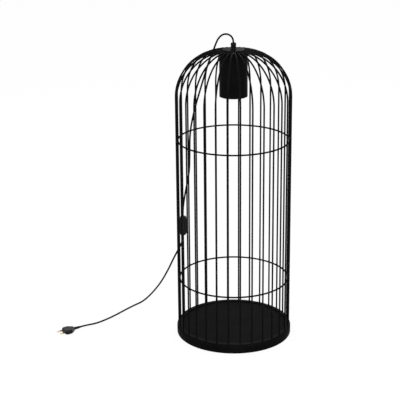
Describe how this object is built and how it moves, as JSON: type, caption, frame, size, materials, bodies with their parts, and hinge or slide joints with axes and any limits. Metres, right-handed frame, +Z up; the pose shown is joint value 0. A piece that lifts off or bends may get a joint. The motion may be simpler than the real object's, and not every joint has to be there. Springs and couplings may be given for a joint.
{
  "type": "wire cage floor lamp",
  "caption": "Tall round wire cage floor lamp with a domed top, a weighted disc base, a metal cup that hides the bulb, and a cord with an in-line rocker switch and plug.",
  "frame": {"origin": "centre of the base where it stands on the floor", "axes": "+Z up along the cage, -Y to the front, +X to the right; the cord leaves on the -X side"},
  "size_m": [0.7353, 0.3777, 0.9493],
  "materials": {
    "black_steel": "satin powder coat",
    "base_inner_steel": "matt primer",
    "zinc_hardware": "zinc plated",
    "felt": "pressed felt",
    "black_plastic": "moulded, fine grain",
    "ceramic": "unglazed",
    "brass": "bright, slightly aged",
    "cord_sheath": "satin vinyl sheath",
    "lead_insulation": "satin",
    "bulb_glass": "opal",
    "bulb_metal": "rolled, satin",
    "bulb_insulator": "dark glass bead",
    "switch_plastic": "semi-gloss moulded",
    "rocker_plastic": "gloss moulded",
    "sleeve_plastic": "satin"
  },
  "bodies": {
    "lamp": {"base_bottom_plate": "base_inner_steel", "base_cover": "black_steel", "base_felt_pads": "felt", "base_pillars": "base_inner_steel", "base_plate_screws": "zinc_hardware", "base_weight": "base_inner_steel", "cage_foot_ring": "black_steel", "cage_foot_screws": "zinc_hardware", "cage_ring_lower": "black_steel", "cage_ring_upper": "black_steel", "cage_wires": "black_steel", "cord_grip": "black_plastic", "cord_grip_screw": "black_plastic", "cord_lower": "cord_sheath", "cord_tail": "cord_sheath", "cord_upper": "cord_sheath", "cup_collar": "zinc_hardware", "hub_nut": "zinc_hardware", "hub_plate": "black_steel", "hub_washer": "zinc_hardware", "lampholder_body": "black_plastic", "lampholder_cap": "black_plastic", "lampholder_centre_contact": "brass", "lampholder_insulator": "ceramic", "lampholder_leads": "lead_insulation", "lampholder_screw_shell": "brass", "lampholder_terminal_screws": "brass", "nipple": "zinc_hardware", "plug_body": "switch_plastic", "plug_pin_sleeves": "sleeve_plastic", "plug_pins": "brass", "shade_cup": "black_steel", "switch_back_shell": "switch_plastic", "switch_front_shell": "switch_plastic", "switch_housing_screws": "zinc_hardware", "switch_terminal_screws": "brass", "switch_terminals": "brass"},
    "rocker": {"switch_rocker": "rocker_plastic"},
    "bulb": {"bulb_cap": "bulb_metal", "bulb_contact": "bulb_metal", "bulb_glass": "bulb_glass", "bulb_insulator": "bulb_insulator"}
  },
  "joints": [
    {"name": "rocker_tilt", "type": "hinge", "parent": "lamp", "child": "rocker", "pos_m": [-0.15695, 0.00741, 0.346], "axis": [0.9962, -0.0872, 0], "range_deg": [0, 14]},
    {"name": "bulb_turn", "type": "hinge", "parent": "lamp", "child": "bulb", "pos_m": [0, 0, 0.8], "axis": [0, 0, -1], "range_deg": [0, 1080]}
  ]
}
